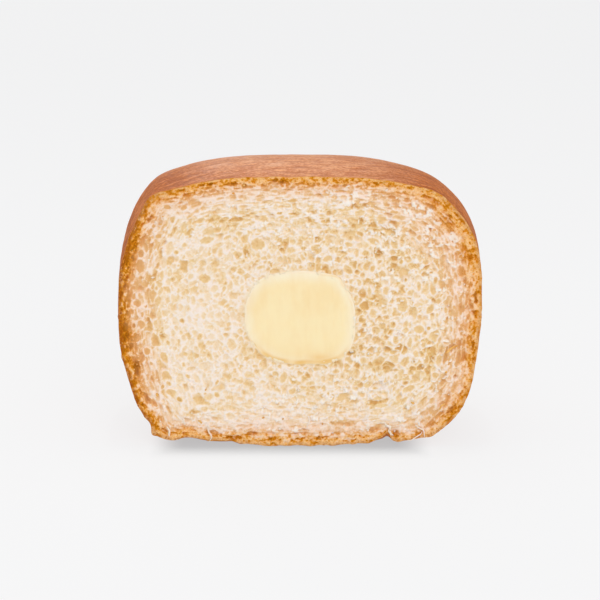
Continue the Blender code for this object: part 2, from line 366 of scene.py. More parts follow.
def digLargePores(xs, zs, ws, solid, bowl, tone):  # changes the last three where the large pores are
    step = foam["step"]
    distinct = np.zeros(tone.shape)  # where pores placed one by one keep their full shade
    spots = [(*spot, foam["bigTone"]) for spot in bigPoreSpots()]
    placed, strewn = len(bigPores["noted"]), len(spots)
    for x, z, length, width, lean, shade in foam["singles"]:
        depth, shade = foam["singleDepth"] * width, foam["singleTone"] * shade
        spots.append((x, z, length, width, depth, math.radians(lean), shade))
    for number, (x, z, length, width, depth, lean, shade) in enumerate(spots):
        reach = length + foam["surround"]
        box = gridPart((x, reach, xs, step), (z, reach, zs, step))
        nearX, nearZ = xs[box[0]][:, None], zs[box[1]][None]
        along, over = turned(nearX - x, nearZ - z, math.cos(lean), math.sin(lean))
        flat = (along / length) ** 2 + (over / width) ** 2
        uneven = faceNoise(nearX, nearZ, (0.18, 1.5, 6), (0.14, 0.6, 8))
        ball = (np.sqrt(flat[:, :, None] + (ws / depth) ** 2) - 1 + uneven[:, :, None]) * width
        front, part = ball[:, :, 0], solid[box]
        np.copyto(part, np.maximum(part, 0.05), where=(ball > 0) & (ball < bigPores["wall"]))
        np.copyto(part, ball.astype(np.float32), where=ball <= 0)
        np.copyto(bowl[box], -2.0 * front, where=front <= 0)
        least = foam["surroundTone"]
        tone[box] *= least + (1 - least) * smoothStep(0.0, foam["surround"], front)
        np.copyto(tone[box], shade, where=front <= 0)
        if number < placed or number >= strewn:
            distinct[box] = np.maximum(distinct[box], smoothStep(0.35, 0.0, front))
    return distinct


def foamDepth():  # how deep one sees into the cut, over a plain grid across and up
    step, layer = foam["step"], foam["layer"]
    xs = np.arange(-49.0, 49.0 + step, step)
    zs = np.arange(-0.4, 74.6, step)
    ws = np.arange(0.0, foam["reach"], layer)
    shape = (len(xs), len(zs), len(ws))
    nearest = np.full(shape, 9.0, np.float32)  # to the nearest pore's middle, in pore sizes
    second = np.full(shape, 9.0, np.float32)  # to the next pore's
    owner = np.full(shape, -1, np.int32)
    scale = np.ones(shape, np.float32)
    seeds, group = foamSeeds()
    print("pores in the crumb:", len(seeds))
    reach = foam["nearby"]
    for x, z, w, a, b, c, ca, sa, size, number in seeds:
        ex, ez, ew = reach * math.hypot(a * ca, b * sa), reach * math.hypot(a * sa, b * ca), reach * c
        box = gridPart((x, ex, xs, step), (z, ez, zs, step), (w, ew, ws, layer))
        along, over = turned((xs[box[0]] - x)[:, None], (zs[box[1]] - z)[None], ca, sa)
        flat = (along / a) ** 2 + (over / b) ** 2
        away = np.sqrt(flat[:, :, None] + ((ws[box[2]] - w) / c) ** 2).astype(np.float32)
        first, following, own = nearest[box], second[box], owner[box]
        closer = away < first
        other = own != group[number]
        np.copyto(following, first, where=closer & other)
        np.copyto(following, away, where=~closer & other & (away < following))
        np.copyto(first, away, where=closer)
        np.copyto(scale[box], size, where=closer)
        np.copyto(own, group[number], where=closer)
    across, up = np.meshgrid(xs, zs, indexing="ij")
    rim = rimDistance(across, up)
    tear = faceNoise(across, up, (0.5, 1.6, 3), (0.5, 0.7, 4))
    wall = foam["wall"] + foam["tearing"] * tear + foam["rimWall"] * smoothStep(2.6, 0.6, rim)
    gap = np.minimum(second - nearest, 1.25 * (foam["roundness"] - nearest)) * scale
    bowl = gap[:, :, 0] - 0.5 * foam["tearing"] * tear
    ownTone = np.random.default_rng(foam["seed"] + 1).triangular(*foam["tones"], len(group))
    tone = ownTone[owner[:, :, 0]]
    solid = wall[:, :, None] - gap
    distinct = digLargePores(xs, zs, ws, solid, bowl, tone)
    filled = solid > 0
    hit = filled.argmax(axis=2)
    k = np.clip(hit, 1, None)[:, :, None]
    before = np.take_along_axis(solid, k - 1, 2)[:, :, 0]
    after = np.take_along_axis(solid, k, 2)[:, :, 0]
    depth = (k[:, :, 0] - 1 + np.clip(-before / (after - before + 1e-9), 0, 1)) * layer
    depth[hit == 0] = 0
    depth[~filled.any(axis=2)] = ws[-1]
    print("open at the cut:", round(float((depth > 0.1).mean()), 2))
    bowl = np.clip(bowl / foam["bowl"], -0.2, 1.0)
    ragged = bowl - foam["ragged"] * (tear + 0.5 * softNoise(across, 0.0, up, 2.6, 7))
    crisp = 0.34 - 0.12 * smoothStep(13.0, 6.0, rim)
    # painted shade: each pore's own random tone grows darker with its depth and towards its middle
    floorTone = tone * (0.55 * smoothStep(0.02, crisp, ragged) + 0.35 * np.maximum(ragged, 0) + 0.25 * depth)
    return xs, zs, depth, bowl, floorTone, distinct


def softened(field):
    p = np.pad(field, 1, mode="edge")
    field = (p[:-2, 1:-1] + 2 * p[1:-1, 1:-1] + p[2:, 1:-1]) / 4
    p = np.pad(field, 1, mode="edge")
    return (p[1:-1, :-2] + 2 * p[1:-1, 1:-1] + p[1:-1, 2:]) / 4


def sampled(field, xs, zs, across, up):  # reads the plain grid between its points
    i = np.clip((across - xs[0]) / (xs[1] - xs[0]), 0, len(xs) - 1.001)
    j = np.clip((up - zs[0]) / (zs[1] - zs[0]), 0, len(zs) - 1.001)
    i0, j0 = i.astype(int), j.astype(int)
    u, v = i - i0, j - j0
    low = field[i0, j0] * (1 - u) + field[i0 + 1, j0] * u
    high = field[i0, j0 + 1] * (1 - u) + field[i0 + 1, j0 + 1] * u
    return low * (1 - v) + high * v


# The cut face, in three pieces: round-pored middle, drawn-out layers and golden rim.
cutFace = {
    "columns": 540,
    "rows": 412,
    "coreEdge": 0.62,  # where the middle ends, as a share of the way out
    "rimEdge": 0.90,  # and where the rim starts
    "waves": 0.13,  # slow unevenness of the cut
    "fray": 0.05,  # fine unevenness
    "bend": 0.32,  # how far the pores' walls are bent
    "clump": 0.22,  # how far torn crumb stands out
    "clumpFill": 0.85,  # and how much of a pore it fills
    "flap": 0.40,  # how far crumb that clings to the cheese stands out
    "proudest": 0.40,  # the farthest that any of it may stand out
    "calm": 0.45,  # how much shallower the fine even crumb left of the middle is
    "calmPlace": ((-25, 38), (15, 18)),  # its middle and size, across and up
    "poreSideShading": (0.34, -0.18, -0.42, -0.10),  # painted shade and light: how much darker the outer pores are left, right, below, above
    "edgeDrop": 0.12,  # how far the face falls back at the crust's outer line
    "edgeInset": 0.22,  # keeps the ragged outline inside the solid's
    "girth": 45,  # usual radius, for grain that runs round the loaf
    "nicks": (  # bumps and dips of the crust's outline: direction, spread (degrees), height
        (-138.4, 1.4, 0.8), (-141.6, 1.2, -0.4), (-177.4, 0.8, 0.18), (-45.5, 1.3, 0.35), (38.5, 1.0, 0.25),
        (-164.0, 0.9, 0.2), (-152.0, 1.1, -0.25), (-30.0, 1.0, -0.2),
    ),
    "lifts": (  # how far the torn lower edge is off the table: across, lift
        (-40, 0), (-36.4, 0.35), (-33, 0.2), (-30.8, 0.9), (-28.6, 1.1), (-24.6, 0.7), (-20.6, 1.05),
        (-18, 1.35), (-15.9, 0.5), (-11.7, 0.5), (-9.5, 0.1), (9.5, 0.1), (11.7, 0.5), (17.6, 0.75),
        (20.2, 1.5), (21.9, 2.0), (23.2, 3.1), (24.5, 0.9), (26.5, 0.2), (28.6, 0.4), (33, 0.4), (37, 0),
    ),
    "pit": 0.22,  # depth of the small pits
    "streak": 0.09,  # and of the drawn-out streaks near the crust
    "fleckRelief": 0.07,
    "cavityDepth": 0.5,
    "flecks": 0.60,  # light and dark grain in the crust
    "wisps": 0.14,  # and in the crumb
    "cavities": (  # holes in the crust, dark from browner crust and painted shade down in them: across, up, half length, half width, lean in degrees
        (-31.0, 69.9, 1.1, 0.45, 15), (-25.9, 71.2, 1.0, 0.4, 8), (-23.2, 71.6, 1.0, 0.35, 6),
        (-17.9, 71.3, 1.3, 0.6, 4), (-13.5, 70.9, 2.2, 0.35, -4), (-5.1, 72.1, 2.6, 0.65, 7),
        (-22.9, 3.7, 2.0, 0.6, -5), (-17.9, 2.5, 2.2, 0.5, -3), (-7.8, 2.2, 1.5, 0.45, 0),
        (-1.0, 1.7, 1.5, 0.4, 0), (5.9, 2.2, 1.6, 0.45, 4), (13.2, 1.7, 1.8, 0.4, 2),
        (25.6, 3.2, 0.9, 0.7, 60), (19.6, 4.9, 1.5, 0.5, 22), (-12.9, 3.6, 1.4, 0.4, -8),
        (9.8, 3.4, 1.2, 0.35, 8),
        (-45.9, 44.0, 1.3, 0.4, 88), (-46.1, 33.0, 1.6, 0.4, 92), (-43.4, 21.5, 1.5, 0.4, 108),
        (-40.0, 13.0, 1.4, 0.45, 122), (45.6, 27.5, 1.4, 0.4, 84), (46.2, 40.5, 1.5, 0.4, 92),
        (40.3, 10.4, 1.6, 0.4, 52), (34.4, 5.6, 1.7, 0.4, 28), (-36.2, 4.6, 1.0, 0.5, -30),
    ),
    "corners": (-142.0, -38.0, 38.0, 142.0),  # directions of the loaf's corners
}


def edgeRadius(angle, behind=0.0):  # the outline with its fine raggedness at the cut
    across, rise = np.cos(angle) * cutFace["girth"], np.sin(angle) * cutFace["girth"]
    lower = smoothStep(-0.60, -0.95, np.sin(angle))
    ragged = faceNoise(across, rise, (0.10, 1.1, 21), (0.14, 4.0, 22), (lower * 0.35, 2.3, 23))
    for direction, spread, height in cutFace["nicks"]:
        ragged = ragged + height * bell(degreesFrom(angle, direction), spread)
    return loafRadius(angle, behind) + (ragged - cutFace["edgeInset"]) * np.exp(-behind / 0.9)


def pressed(across, behind, up):  # the flat base, its front edge torn and lifted here and there
    lift = np.interp(across, *np.transpose(cutFace["lifts"])) * np.exp(-behind / 6.0)
    frayed = 1 + 0.6 * softNoise(across, 0.0, 0.0, 1.7, 24) + 0.4 * softNoise(across, 0.0, 0.0, 0.7, 25)
    lift = lift + 0.25 * frayed * np.exp(-behind / 1.2)
    return np.maximum(up, 0.0) + lift * smoothStep(7.0, 0.0, up)


def towardsOutline(s, t):  # a point on a square's edge, as a direction evenly along the outline
    fine = np.linspace(-math.pi, math.pi, 4001)
    radius = loafRadius(fine)
    steps = np.hypot(np.diff(radius * np.cos(fine)), np.diff(radius * np.sin(fine)))
    length = np.concatenate([[0], np.cumsum(steps)])
    lowerLeft, lowerRight, upperRight, upperLeft = np.interp(np.radians(cutFace["corners"]), fine, length)

    def along(first, second, share):
        return np.interp((first + (second - first) * (share + 1) / 2) % length[-1], length, fine)

    right, top = along(lowerRight, upperRight, t), along(upperRight, upperLeft, -s)
    left, bottom = along(upperLeft, lowerLeft + length[-1], -t), along(lowerLeft, lowerRight, s)
    onSides = np.abs(s) >= np.abs(t)
    return np.where(onSides, np.where(s > 0, right, left), np.where(t > 0, top, bottom))


def tornClumps(across, up, rim):  # white ragged crumb, mostly right of the middle and above
    where = faceNoise(across, up * 1.3, (0.9, 2.0, 61), (0.6, 0.9, 62))
    where = where + 0.5 * softNoise(across, 0.0, up, 0.45, 63)
    side = 0.22 * np.tanh((across + 2) / 14) + 0.10 * np.tanh((up - 46) / 14)
    side = side + 0.18 * smoothStep(22.0, 10.0, up)
    return smoothStep(0.72, 1.25, where + side) * smoothStep(2.0, 5.0, rim)


def smallPits(across, up, size, seed):  # shallow round pits, one in most cells of a jittered grid
    u, v = across / size, up / size
    column, row = np.floor(u).astype(np.int64), np.floor(v).astype(np.int64)
    nearest = np.full(np.shape(u), 9.0)
    for i in (-1, 0, 1):
        for j in (-1, 0, 1):
            a, b = column + i, row + j
            x = a + 0.5 + 0.42 * scatter(a, b, 0 * a, seed)
            z = b + 0.5 + 0.42 * scatter(a, b, 0 * a, seed + 1)
            girth = 0.75 + 0.45 * scatter(a, b, 0 * a, seed + 2)
            nearest = np.minimum(nearest, np.hypot(u - x, v - z) / np.maximum(girth, 0.3))
    return smoothStep(0.50, 0.22, nearest)


def thinLines(across, up, size, seed):  # thin wandering lines, one where the lumps change sign
    lumps = softNoise(across, 0.0, up, size, seed)
    broken = softNoise(across, 0.0, up, 2.3 * size, seed + 20)
    return bell(lumps, 0.13) * smoothStep(-0.1, 0.35, broken)


def crustCavities(across, up, rim, fray):
    cavity = 0 * rim
    for x, z, length, width, lean in cutFace["cavities"]:
        ca, sa = math.cos(math.radians(lean)), math.sin(math.radians(lean))
        along, over = turned(across - x, up - z, ca, sa)
        away = np.hypot(along / length, over / (1.3 * width)) + 0.45 * fray
        cavity = np.maximum(cavity, smoothStep(1.45, 0.45, away) * smoothStep(0.1, 0.4, rim))
    return cavity


def goldenDistance(across, up, rim, angle, flecks, downward, topward):  # where the gold of the rim ends
    high, low = smoothStep(0.75, 0.95, np.sin(angle)), smoothStep(0.75, 0.95, -np.sin(angle))
    thickness = 1 + 0.3 * high - 0.30 * low - 0.40 * bell(np.degrees(angle) - 30, 22)
    golden = rim * thickness + 0.5 * softNoise(across, 0.0, up, 2.4, 84) * smoothStep(0.0, 1.0, rim)
    golden = golden + (3.5 * downward + 1.5 * topward) * smoothStep(3.0, 8.0, rim)
    paleBits = np.maximum(-flecks, 0) * smoothStep(0.2, 0.8, rim) * smoothStep(5.0, 3.0, rim)
    return golden + (0.7 + 0.9 * downward) * paleBits


def darkOuterLine(across, up, rim, angle, rightward, downward):
    uneven = rim + 0.35 * softNoise(across, 0.0, up, 1.6, 79)
    line = smoothStep(1.3, 0.5, uneven) * smoothStep(0.80, 0.45, np.sin(angle))
    return line * (1 - 0.6 * rightward) * (1 - 0.5 * downward)


def tornStrands(across, up, rim, angle, layered):  # over the pores, and drawn out near the crust
    wayRound = angle * cutFace["girth"]
    strands = thinLines(across, up * 1.5, 1.9, 74) + thinLines(across * 1.4, up, 1.3, 75)
    drawn = thinLines(wayRound / 2.6, rim, 1.1, 76) + thinLines(wayRound / 1.7, rim, 0.7, 77)
    return np.clip(strands * (1 - layered) + drawn * layered, 0, 1)


def slowClouds(across, up, calm, covering):  # slow change of light and dark over the crumb
    cloudy = 1 + 0.28 * softNoise(across, 0.0, up, 5.0, 82) + 0.18 * softNoise(across, 0.0, up, 2.2, 83)
    cloudy = cloudy * (1 - 0.30 * calm + 0.14 * np.tanh(across / 16) - 0.28 * smoothStep(28.0, 14.0, up))
    cloudy = cloudy * (1 - 0.14 * smoothStep(46.0, 56.0, up))
    return 1 + (cloudy - 1) * covering


def crustGrain(across, up, rim, angle, topward):  # baked streaks and flecks that run round the loaf
    wayRound = angle * cutFace["girth"]
    streaks = softNoise(wayRound / 3.2, 0.0, rim / 0.5, 1.0, 72)
    streaks = (streaks + softNoise(wayRound / 1.6, 0.0, rim / 0.3, 1.0, 73)) * (1 + 0.8 * topward)
    flecks = softNoise(wayRound / 1.9, 0.0, rim, 0.45, 91)
    flecks = flecks + 0.8 * softNoise(wayRound / 1.5, 0.0, rim, 0.9, 92)
    flecks = flecks + 0.8 * softNoise(across, 0.0, up, 0.55, 93) + 0.3 * softNoise(across, 0.0, up, 2.2, 80)
    return streaks, flecks


def makeFacePieces(points, out, fromCheese, masks):
    quads = gridQuads(*out.shape)
    middle = out.reshape(-1)[quads].mean(1)
    covered = (fromCheese < -1.2).reshape(-1)[quads].all(1)  # hidden behind the cheese
    made = []
    for name, chosen in (
        ("crumb_core", (middle < cutFace["coreEdge"]) & ~covered),
        ("crumb_layers", (middle >= cutFace["coreEdge"]) & (middle < cutFace["rimEdge"])),
        ("crust_rim", middle >= cutFace["rimEdge"]),
    ):
        used, renamed = np.unique(quads[chosen], return_inverse=True)
        piece = makeMesh(name, points[used], renamed.reshape(-1, 4))
        for maskName, values in masks.items():
            addMask(piece, maskName, values.reshape(-1)[used])
        made.append(piece)
    return made


def faceGrid():  # a square grid of points drawn out to the loaf's outline
    columns, rows = cutFace["columns"], cutFace["rows"]
    s, t = np.meshgrid(np.linspace(-1, 1, columns + 1), np.linspace(-1, 1, rows + 1))
    out = np.maximum(np.maximum(np.abs(s), np.abs(t)), 1e-6)
    angle = towardsOutline(s / out, t / out)
    plain = loafRadius(angle)
    radius = out * (plain + out**8 * (edgeRadius(angle) - plain))
    across = radius * np.cos(angle)
    up = pressed(across, 0.0, loaf["axis"] + radius * np.sin(angle))
    rim = np.minimum(np.maximum(rimDistance(across, up), 0.0), (1 - out) * plain)
    return out, angle, across, up, rim


def makeCutFace():
    xs, zs, depth, bowl, floorTone, distinct = foamDepth()
    for _ in range(foam["softening"]):
        depth, bowl = softened(depth), softened(bowl)
    shape = foam["shallowness"] * depth * (0.35 + 0.65 * bowl)
    out, angle, across, up, rim = faceGrid()
    bend = cutFace["bend"] * smoothStep(0.5, 4.0, rim)
    bendX = faceNoise(across, up, (1, 3.0, 35), (0.35, 1.0, 36))
    bendZ = faceNoise(across, up, (1, 3.0, 37), (0.35, 1.0, 38))
    bent = (across + bend * bendX, up + bend * bendZ)
    pore = sampled(shape, xs, zs, *bent) * smoothStep(0.0, 0.5, rim)
    tint = sampled(floorTone, xs, zs, *bent) * smoothStep(0.0, 0.5, rim)
    leftward, rightward = smoothStep(-0.55, -0.95, np.cos(angle)), smoothStep(0.55, 0.95, np.cos(angle))
    downward, topward = smoothStep(-0.5, -0.9, np.sin(angle)), smoothStep(0.35, 0.85, np.sin(angle))
    outward = smoothStep(13.0, 6.0, rim)
    # painted shade on the left and painted light to the other sides, most below, in the outer pores
    sides = zip(cutFace["poreSideShading"], (leftward, rightward, downward, topward))
    tint = tint * (1 + outward * sum(strength * side for strength, side in sides))
    fromCheese = cheeseDistance(across, up)
    pore = pore * smoothStep(-0.2, 1.0, fromCheese)
    fray = softNoise(across, 0.0, up, 0.55, 31)
    covering = 1 - sampled(distinct, xs, zs, *bent)  # what may lighten or fill a pore
    clump = tornClumps(across, up, rim) * covering
    calm = softSpot(across, up, *cutFace["calmPlace"]) * covering
    layered = smoothStep(15.0 + 5 * topward, 7.0 + 3 * topward, rim) * smoothStep(0.4, 1.2, rim)
    strands = tornStrands(across, up, rim, angle, layered) * (1 - 0.6 * calm)
    strands = strands * (1 - 0.6 * outward * smoothStep(0.35, 0.75, np.abs(np.cos(angle)))) * covering
    torn, between = 1 - cutFace["clumpFill"] * clump, 1 - foam["strands"] * strands
    kept = torn * (1 - cutFace["calm"] * calm) * between
    pore, tint = pore * kept, slowClouds(across, up, calm, covering) * tint * torn * between
    tint = tint * smoothStep(-0.3, 0.7, fromCheese)
    warp = 0.3 * softNoise(across, 0.0, up, 1.3, 39)
    pits = smallPits(across + warp, up - warp, 1.15, 71) * (1 - 0.6 * calm) * smoothStep(0.5, -0.1, pore)
    crusty = smoothStep(4.2, 2.2, rim)
    grains = crusty * smallPits(across - warp, up + warp, 0.85, 78) * smoothStep(0.3, 0.9, rim)
    streaks, flecks = crustGrain(across, up, rim, angle, topward)
    cavity = crustCavities(across, up, rim, fray)
    waves = faceNoise(across, up, (1, 9.0, 33), (0.5, 3.5, 34))
    inner = smoothStep(0.0, 1.2, rim)
    fine = cutFace["fray"] * fray + cutFace["pit"] * (pits + grains) + cutFace["cavityDepth"] * cavity
    fine = fine + cutFace["streak"] * layered * streaks + cutFace["fleckRelief"] * crusty * flecks
    behind = pore + inner * (fine + cutFace["waves"] * (0.9 + 0.5 * waves))
    behind = behind + cutFace["edgeDrop"] * (1 - inner) - cutFace["clump"] * clump
    flaps = smoothStep(-0.1, 0.6, faceNoise(across, up, (1, 1.5, 85), (0.6, 0.6, 86)))
    flaps = flaps * smoothStep(-0.7, -0.2, fromCheese) * smoothStep(0.9, 0.2, fromCheese)
    behind = np.maximum(behind - cutFace["flap"] * flaps, -cutFace["proudest"])
    points = np.stack([across, cutFront + behind, up], -1).reshape(-1, 3)
    # painted shade and light on the crust of the cut, by direction round the loaf: darker on the left,
    # lighter at the bottom
    crustSideShading = 0.50 * smoothStep(-0.78, -0.97, np.cos(angle)) - 0.08 * rightward
    crustSideShading = crustSideShading + 0.05 * topward - 0.42 * downward
    wisps = softNoise(across, 0.0, up, 0.42, 94) + 0.5 * fray
    # the colour mask follows the relief: pores, pits, streaks and the crust's holes are painted darker,
    # partly their own colour and partly painted shade
    depthMask = tint * (1 - 0.5 * crusty) + 0.30 * pits + 0.20 * layered * streaks + 1.1 * cavity
    depthMask = depthMask + cutFace["wisps"] * wisps * (1 - 0.4 * calm)
    depthMask = depthMask + crusty * (0.25 * grains + crustSideShading)
    depthMask = depthMask + crusty * cutFace["flecks"] * flecks * (1 + 0.3 * downward)
    masks = {
        "poreDepth": depthMask,
        "fromRim": goldenDistance(across, up, rim, angle, flecks, downward, topward) / 10,
        "fromCheese": fromCheese / 10,
        "tornClump": clump,
        "bakedLine": darkOuterLine(across, up, rim, angle, rightward, downward),
    }
    made = makeFacePieces(points, out, fromCheese, masks)
    return made, points, rim.reshape(-1), fromCheese.reshape(-1)


# The outer crust, from the ragged edge of the cut to the round back.
skin = {
    "around": 560,
    "stations": 176,
    "wrinkle": 0.06,  # heights of its relief
    "crease": 0.03,
    "dimple": 0.05,
    "unevenness": 0.3,
    "linedTo": (36.0, 16.0),  # how far behind the cut the fine lines end, and start to fade
    "inset": 0.21,  # keeps its relief inside the solid's size
    "backInset": 0.12,
}


def skinStations():  # evenly spaced along the loaf's side and over its back
    turn = np.linspace(0, math.pi / 2, 4000)
    power = 2 / loaf["rounding"]
    share, closing = np.sin(turn) ** power, np.cos(turn) ** power
    length = np.concatenate([[0], np.cumsum(np.hypot(np.diff(share * loaf["depth"]), np.diff(closing * 42)))])
    even = np.linspace(0, length[-1] * 0.998, skin["stations"])
    return np.interp(even, length, share)


def makeSkin():
    angle = np.linspace(-math.pi, math.pi, skin["around"], endpoint=False)[None]
    share = skinStations()[:, None]
    across, rise = np.cos(angle), np.sin(angle)
    edge = cutFace["edgeDrop"]
    behind = edge + share * (loaf["depth"] - edge - skin["backInset"])
    end = np.where(rise > 0, loaf["rounding"], loaf["baseRounding"])
    rounding = loaf["rounding"] + (end - loaf["rounding"]) * rise**2
    closing = (1 - share**rounding) ** (1 / rounding)
    swell = np.sin(math.pi * np.minimum(share / loaf["swellEnd"], 1))
    wider = 1 + loaf["sideSwell"] * swell * np.where(rise > 0, 1, 1 - rise**2)
    higher = 1 + np.where(rise > 0, loaf["crownRise"] * swell, loaf["baseSag"] * np.sin(math.pi * share))
    radius = edgeRadius(angle, behind - edge) * closing
    x = radius * across * wider
    z = loaf["axis"] + radius * rise * higher
    y = cutFront + behind + 0 * radius
    lump = skin["unevenness"] * swell * softNoise(x, y, z, 22.0, 41)
    lie = y + 2.0 * softNoise(x, y, z, 9.0, 44) + 0.6 * softNoise(x, y, z, 3.5, 47)
    lie = lie - 0.42 * np.minimum(x + 6, 0) * smoothStep(40.0, 66.0, z)
    lined = smoothStep(*skin["linedTo"], behind - edge)
    wave = softNoise(x * 0.2, lie, z * 0.2, 1.4, 42) + 0.8 * softNoise(x * 0.3, lie, z * 0.3, 1.0, 43)
    crease = bell(softNoise(x * 0.2, lie, z * 0.2, 1.8, 46), 0.16)
    crease = crease * smoothStep(-0.1, 0.4, softNoise(x, y, z, 5.0, 48)) * lined
    wave = wave * lined
    fine = skin["wrinkle"] * wave - skin["crease"] * crease + skin["dimple"] * softNoise(x, y, z, 2.4, 45)
    relief = (lump + fine - skin["inset"]) * smoothStep(0.0, 1.5, behind - edge) * closing
    x = x + relief * across
    z = pressed(x, behind - edge, z + relief * rise)
    lip = edgeRadius(angle) - 0.45  # tucked under the face, so that no slit shows
    lipUp = pressed(lip * across, 0.0, loaf["axis"] + lip * rise)
    under = np.stack([lip * across, cutFront + 0.4 + 0 * lip, lipUp], -1)
    points = np.concatenate([under, np.stack([x, y, z], -1)])
    quads = gridQuads(len(points), skin["around"], closed=True)
    points = points.reshape(-1, 3)
    back = np.arange(len(points) - 1, len(points) - skin["around"] - 1, -1)
    piece = makeMesh("crust_skin", points, quads, [back])
    addMask(piece, "towardsTop", np.concatenate([rise + 0 * lip, rise + 0 * x]))
    addMask(piece, "wrinkles", np.concatenate([0 * lip, wave - 0.9 * crease]))
    addMask(piece, "behindCut", np.concatenate([0 * lip, (behind - edge) / 10 + 0 * x]))
    return piece


# The block of cheese, which runs back into the loaf.
cheeseLook = {
    "around": 260,
    "faceRings": 70,
    "sideRings": 44,
    "edgeRound": 0.9,  # how far in from its rim the face rolls over
    "rollDepth": 0.11,
    "streak": 0.02,
    "cover": 0.18,  # how far its soft rim lies over the crumb
    "corners": ((50, 9, 0.55), (27, 12, -0.35), (-60, 10, 0.35)),  # direction, spread (degrees), height
    "contours": ((-140, 20, 0.8), (-75, 18, 0.5), (48, 22, 0.55), (5, 15, 0.3)),  # and how golden
    "waver": ((0.16, 3.0, 51), (0.07, 1.0, 56)),  # unevenness of its rim: strength, size, seed
    "goldenSpot": ((5.5, 24.7), (3.2, 1.1)),  # middle and size of the brightest part of the line
}


def cheeseMasks(angle, inside, x, z):  # name, values over the face, and the value elsewhere
    # painted highlight: paler along the upper part of the rim
    rimHighlight = 0.25 * smoothStep(0.2, 0.9, np.sin(angle)) * smoothStep(8.0, 0.5, inside)
    blur = 0.5 + 0.5 * softNoise(x, 0.0, z, 2.2, 55)
    # painted shade: the lower edge and the lower part are made more golden
    line = smoothStep(1.7, 0.5, inside) * smoothStep(-0.35, -0.85, np.sin(angle)) * (0.35 + 0.65 * blur)
    contour = bell(inside - 0.35 - 0.35 * softNoise(x, 0.0, z, 2.0, 57), 0.28)
    seen = 0.15 + 0 * angle
    for direction, spread, strength in cheeseLook["contours"]:
        seen = seen + strength * bell(np.degrees(angle) - direction, spread)
    line = np.maximum(line, contour * seen * (0.4 + 0.6 * blur))
    line = line + 0.5 * softSpot(x, z, *cheeseLook["goldenSpot"])
    line = line + 0.18 * smoothStep(-0.3, -0.9, np.sin(angle)) * smoothStep(7.0, 1.0, inside)
    joined = smoothStep(0.8, 0.0, inside) * (0.75 + 0.45 * softNoise(x, 0.0, z, 1.2, 58))
    joined = joined * (1 - 0.85 * np.clip(1.6 * line, 0, 1))
    return (
        ("inFromRim", np.clip(inside / 4, 0, 1) - rimHighlight, 1.0),
        ("goldenLine", line, 0.0),
        ("intoCrumb", joined, 0.0),
    )


def makeCheese():
    angle = np.linspace(-math.pi, math.pi, cheeseLook["around"], endpoint=False)[None]
    rim = cheeseRadius(angle) + cheeseLook["cover"]
    for strength, size, seed in cheeseLook["waver"]:
        rim = rim + strength * softNoise(np.cos(angle) * 14, 0.0, np.sin(angle) * 14, size, seed)
    for direction, spread, height in cheeseLook["corners"]:
        rim = rim + height * bell(np.degrees(angle) - direction, spread)
    scale = np.sin(np.pi / 2 * np.linspace(0.008, 1, cheeseLook["faceRings"]))[:, None]
    radius = rim * scale
    inside = rim - radius
    x = cheese["across"] + radius * np.cos(angle)
    z = cheese["up"] + radius * np.sin(angle)
    roll = 1 - np.sqrt(np.clip(1 - (1 - np.clip(inside / cheeseLook["edgeRound"], 0, 1)) ** 2, 0, 1))
    streaks = softNoise(x, 0.0, z * 0.12, 0.7, 52) + 0.6 * softNoise(x, 0.0, z * 0.2, 0.35, 53)
    behind = -cheese["proud"] * (0.96 - 0.6 * scale**3) + 0.05 * (1 + softNoise(x, 0.0, z, 6.0, 54))
    behind = behind + cheeseLook["rollDepth"] * roll
    behind = behind + cheeseLook["streak"] * (1 + streaks) * (1 - roll)
    face = np.stack([x, cutFront + behind, z], -1)
    turn = np.linspace(0, math.pi / 2, cheeseLook["sideRings"])[1:, None]
    share = 0.9992 * np.sin(turn)
    closing = (1 - share**4) ** 0.25
    radius = cheeseRadius(angle) * closing
    y = cutFront + 0.6 + share * (cheese["depth"] - 0.6)
    sideX, sideZ = cheese["across"] + radius * np.cos(angle), cheese["up"] + radius * np.sin(angle)
    points = np.concatenate([face, np.stack([sideX, y + 0 * radius, sideZ], -1)])
    count = cheeseLook["around"]
    quads = gridQuads(len(points), count, closed=True)
    points = points.reshape(-1, 3)
    ends = [np.arange(count), np.arange(len(points) - 1, len(points) - count - 1, -1)]
    piece = makeMesh("cheese_block", points, quads, ends)
    for name, values, elsewhere in cheeseMasks(angle, inside, x, z):
        whole = np.full(len(points), elsewhere)
        whole[: values.size] = values.ravel()
        addMask(piece, name, whole)
    return piece


# Torn strands and loose crumbs on the cut.
bits = {
    "whiteCrumbs": 44,
    "goldenCrumbs": 40,
    "size": (0.12, 0.34),
    "larger": (0.12, 1.6),  # share of larger crumbs, and how much larger they are
    "sides": 8,  # corners round a crumb or strand
    "crumbRings": 6,
    "strandRings": 16,
    "proud": 0.40,  # the farthest that a crumb stands out of the cut
    "seed": 17,
    "whiteStrands": (  # across and up of both ends, sideways bow, thickness, stands out by
        (-24.8, 5.2, -23.9, 1.4, 0.7, 0.22, 0.3), (-35.2, 5.6, -34.7, 2.8, 0.3, 0.24, 0.05),
        (22.6, 6.2, 24.0, 4.6, 0.4, 0.40, 0.25), (23.6, 5.0, 24.8, 3.2, -0.4, 0.32, 0.25),
        (21.2, 6.8, 22.9, 5.8, 0.5, 0.30, 0.15), (30.4, 6.0, 33.2, 2.8, 0.7, 0.18, 0.4),
        (28.2, 1.8, 32.4, 4.3, -0.6, 0.14, 0.4), (-31.8, 8.6, -30.6, 6.0, 0.5, 0.25, 0.2),
        (2.3, 8.6, 2.0, 5.8, 0.3, 0.2, 0.25), (17.8, 9.4, 16.6, 7.2, 0.3, 0.22, 0.3),
        (20.4, 60.8, 22.6, 59.6, 0.4, 0.2, 0.3), (11.9, 70.2, 13.0, 71.3, 0.2, 0.2, 0.2),
    ),
    "goldenStrands": (
        (38.4, 25.7, 41.6, 28.0, 0.3, 0.34, 0.25), (36.9, 10.2, 38.4, 12.0, 0.3, 0.22, 0.25),
        (-27.0, 7.3, -25.9, 6.3, 0.2, 0.26, 0.2),
    ),
}


